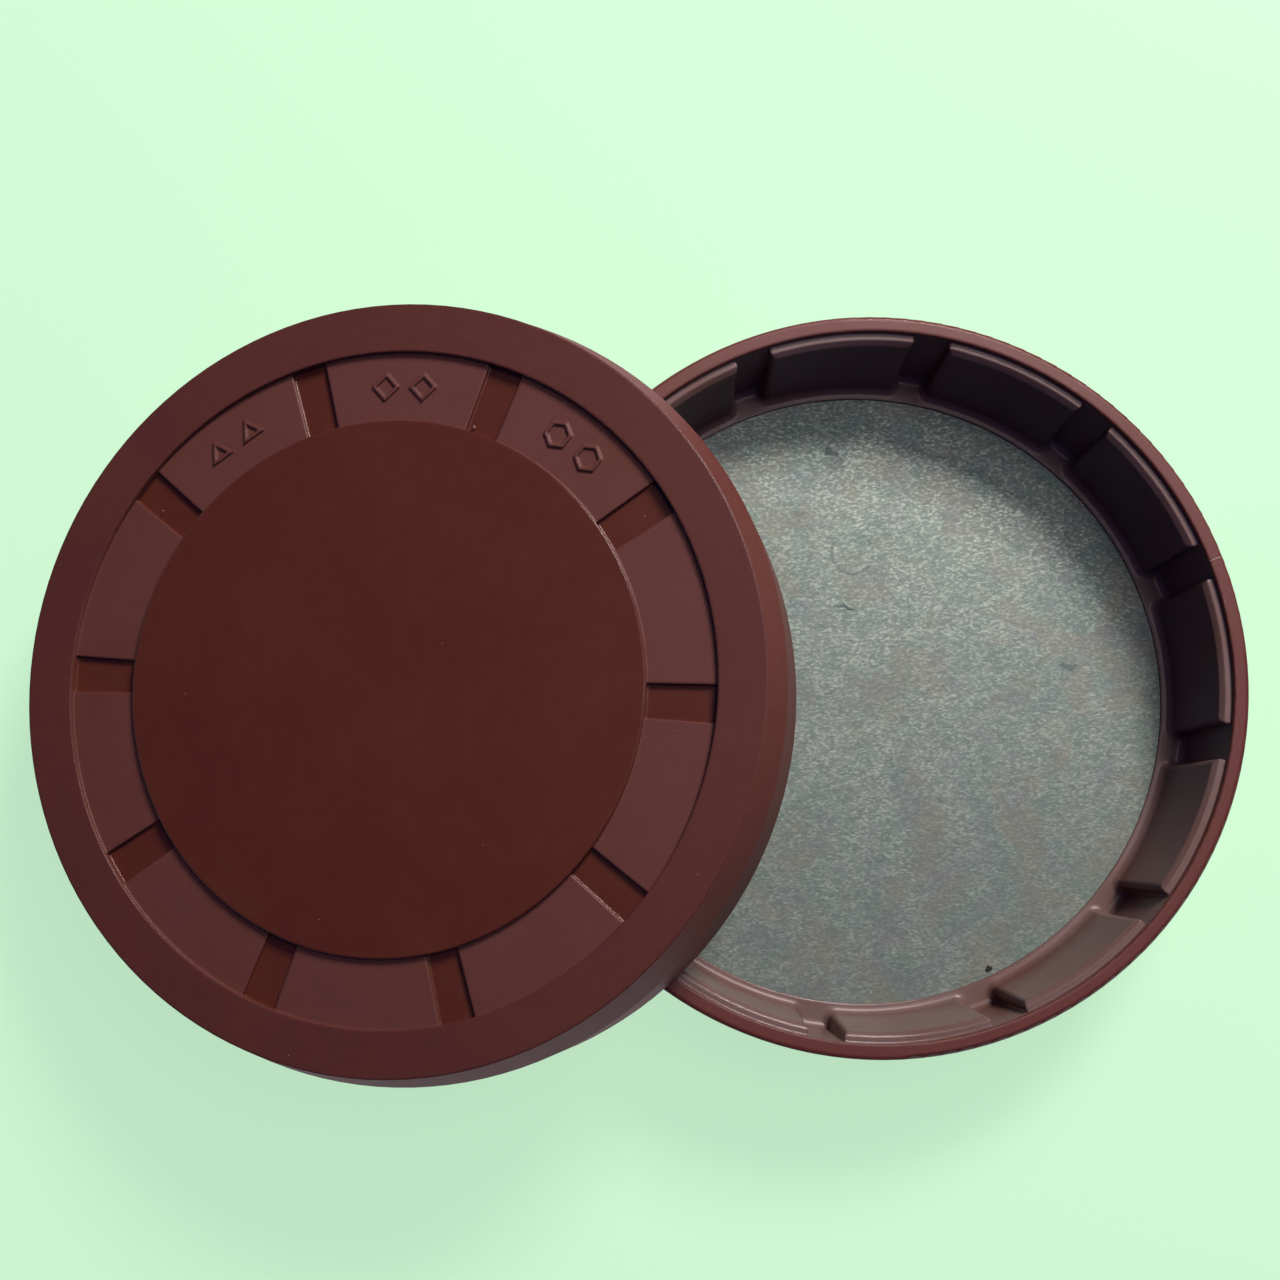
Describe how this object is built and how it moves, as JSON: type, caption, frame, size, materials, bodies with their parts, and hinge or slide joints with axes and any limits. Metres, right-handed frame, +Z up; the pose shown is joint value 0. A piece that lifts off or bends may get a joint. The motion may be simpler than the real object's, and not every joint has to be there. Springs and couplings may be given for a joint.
{
  "type": "pair of round press-in covers",
  "caption": "Pair of round rubber-covered steel end covers: one mouth up with lugs inside, one face up with ten shallow pads, leaning on its rim.",
  "frame": {"origin": "centre of the upturned cover's outer face, on the surface that both covers rest on", "axes": "+Z up out of the upturned cover's mouth, -X towards the cover that leans on it"},
  "size_m": [0.0892, 0.055, 0.0222],
  "materials": {
    "brown_rubber": "moulded satin",
    "grey_steel": "matt phosphated"
  },
  "bodies": {
    "upturned_cover": {"upturned_rubber_body": "brown_rubber", "upturned_steel_insert": "grey_steel"},
    "leaning_cover": {"leaning_rubber_body": "brown_rubber", "leaning_steel_insert": "grey_steel"}
  },
  "joints": [
    {"name": "leaning_cover_lift", "type": "slide", "parent": "upturned_cover", "child": "leaning_cover", "axis": [0, 0, 1], "range_m": [0, 0.03]}
  ]
}
